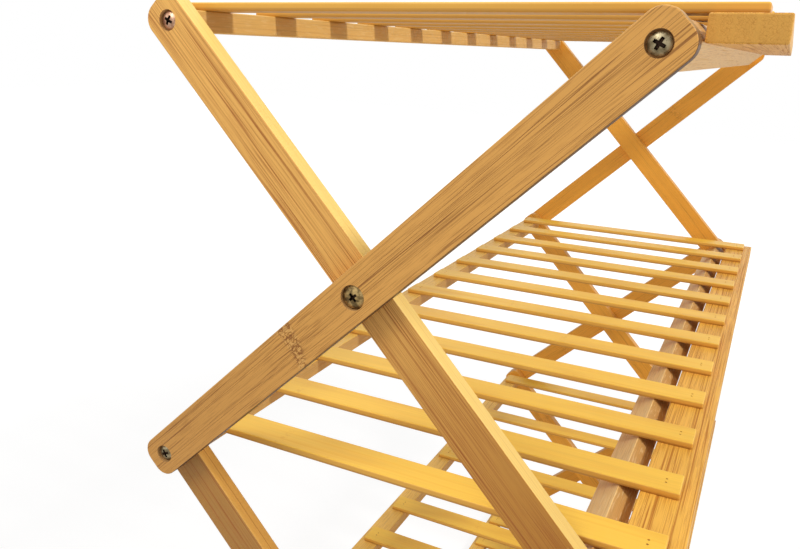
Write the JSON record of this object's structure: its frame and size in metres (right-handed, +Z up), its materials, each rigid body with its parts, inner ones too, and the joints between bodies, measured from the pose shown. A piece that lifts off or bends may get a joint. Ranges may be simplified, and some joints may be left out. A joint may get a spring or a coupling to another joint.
{
  "type": "folding shoe rack",
  "caption": "Freestanding bamboo shoe rack: slatted shelves on crossed end legs that close flat like lazy tongs, with the shelves swinging up on their back rails.",
  "frame": {"origin": "middle of the open rack's bounding box, on the floor that the feet stand on", "axes": "+X along the shelves to the right-hand end as seen from the front, +Y to the back, where the shelves hinge, +Z up"},
  "size_m": [0.74, 0.279, 0.7175],
  "materials": {
    "leg_bamboo": "satin lacquered bamboo",
    "slat_bamboo": "satin lacquered bamboo",
    "rail_bamboo": "satin lacquered bamboo",
    "screw_bronze": "antique bronze plate",
    "brad_steel": "dull"
  },
  "bodies": {
    "back_foot_pivot": {"back_screws_4": "screw_bronze"},
    "lower_outer_frame": {"lower_outer_leg_left": "leg_bamboo", "lower_outer_leg_right": "leg_bamboo"},
    "lower_inner_frame": {"lower_inner_leg_left": "leg_bamboo", "lower_inner_leg_right": "leg_bamboo", "front_bar_4": "rail_bamboo", "front_screws_4": "screw_bronze", "lower_crossing_bolts": "screw_bronze", "lower_barrel_nuts": "screw_bronze"},
    "middle_outer_frame": {"middle_outer_leg_left": "leg_bamboo", "middle_outer_leg_right": "leg_bamboo"},
    "middle_inner_frame": {"middle_inner_leg_left": "leg_bamboo", "middle_inner_leg_right": "leg_bamboo", "front_bar_3": "rail_bamboo", "front_screws_3": "screw_bronze", "middle_crossing_bolts": "screw_bronze", "middle_barrel_nuts": "screw_bronze"},
    "upper_outer_frame": {"upper_outer_leg_left": "leg_bamboo", "upper_outer_leg_right": "leg_bamboo", "front_bar_1": "rail_bamboo", "front_screws_1": "screw_bronze"},
    "upper_inner_frame": {"upper_inner_leg_left": "leg_bamboo", "upper_inner_leg_right": "leg_bamboo", "front_bar_2": "rail_bamboo", "front_screws_2": "screw_bronze", "upper_crossing_bolts": "screw_bronze", "upper_barrel_nuts": "screw_bronze"},
    "shelf_4": {"back_rail_4": "rail_bamboo", "front_batten_4": "rail_bamboo", "slats_4": "slat_bamboo", "brads_4": "brad_steel"},
    "shelf_3": {"back_rail_3": "rail_bamboo", "front_batten_3": "rail_bamboo", "slats_3": "slat_bamboo", "brads_3": "brad_steel", "back_screws_3": "screw_bronze"},
    "shelf_2": {"back_rail_2": "rail_bamboo", "front_batten_2": "rail_bamboo", "slats_2": "slat_bamboo", "brads_2": "brad_steel", "back_screws_2": "screw_bronze"},
    "shelf_1": {"back_rail_1": "rail_bamboo", "front_batten_1": "rail_bamboo", "slats_1": "slat_bamboo", "brads_1": "brad_steel", "back_screws_1": "screw_bronze"}
  },
  "joints": [
    {"name": "fold", "type": "hinge", "parent": "back_foot_pivot", "child": "lower_outer_frame", "pos_m": [0, 0.12688, 0.0115], "axis": [-1, 0, 0], "range_deg": [0, 38]},
    {"name": "lower_crossing", "type": "hinge", "parent": "lower_outer_frame", "child": "lower_inner_frame", "pos_m": [0, 0.01338, 0.1265], "axis": [-1, 0, 0], "range_deg": [-76, 0]},
    {"name": "front_joint_3", "type": "hinge", "parent": "lower_outer_frame", "child": "middle_inner_frame", "pos_m": [0, -0.10012, 0.2415], "axis": [-1, 0, 0], "range_deg": [-76, 0]},
    {"name": "back_joint_3", "type": "hinge", "parent": "lower_inner_frame", "child": "middle_outer_frame", "pos_m": [0, 0.12688, 0.2415], "axis": [-1, 0, 0], "range_deg": [0, 76]},
    {"name": "front_joint_2", "type": "hinge", "parent": "middle_outer_frame", "child": "upper_inner_frame", "pos_m": [0, -0.10012, 0.4715], "axis": [-1, 0, 0], "range_deg": [-76, 0]},
    {"name": "back_joint_2", "type": "hinge", "parent": "middle_inner_frame", "child": "upper_outer_frame", "pos_m": [0, 0.12688, 0.4715], "axis": [-1, 0, 0], "range_deg": [0, 76]},
    {"name": "shelf_4_lift", "type": "hinge", "parent": "lower_outer_frame", "child": "shelf_4", "pos_m": [0, 0.12688, 0.0115], "axis": [-1, 0, 0], "range_deg": [0, 50.5]},
    {"name": "shelf_3_lift", "type": "hinge", "parent": "lower_inner_frame", "child": "shelf_3", "pos_m": [0, 0.12688, 0.2415], "axis": [-1, 0, 0], "range_deg": [0, 126.5]},
    {"name": "shelf_2_lift", "type": "hinge", "parent": "middle_inner_frame", "child": "shelf_2", "pos_m": [0, 0.12688, 0.4715], "axis": [-1, 0, 0], "range_deg": [0, 126.5]},
    {"name": "shelf_1_lift", "type": "hinge", "parent": "upper_inner_frame", "child": "shelf_1", "pos_m": [0, 0.12688, 0.7015], "axis": [-1, 0, 0], "range_deg": [0, 126.5]}
  ],
  "couplings": [
    {"joint": "lower_crossing", "follows": "fold", "ratio": -2},
    {"joint": "front_joint_3", "follows": "fold", "ratio": -2},
    {"joint": "back_joint_3", "follows": "fold", "ratio": 2},
    {"joint": "front_joint_2", "follows": "fold", "ratio": -2},
    {"joint": "back_joint_2", "follows": "fold", "ratio": 2},
    {"joint": "shelf_4_lift", "follows": "fold", "ratio": 1.32},
    {"joint": "shelf_3_lift", "follows": "fold", "ratio": 3.32},
    {"joint": "shelf_2_lift", "follows": "fold", "ratio": 3.32},
    {"joint": "shelf_1_lift", "follows": "fold", "ratio": 3.32}
  ]
}
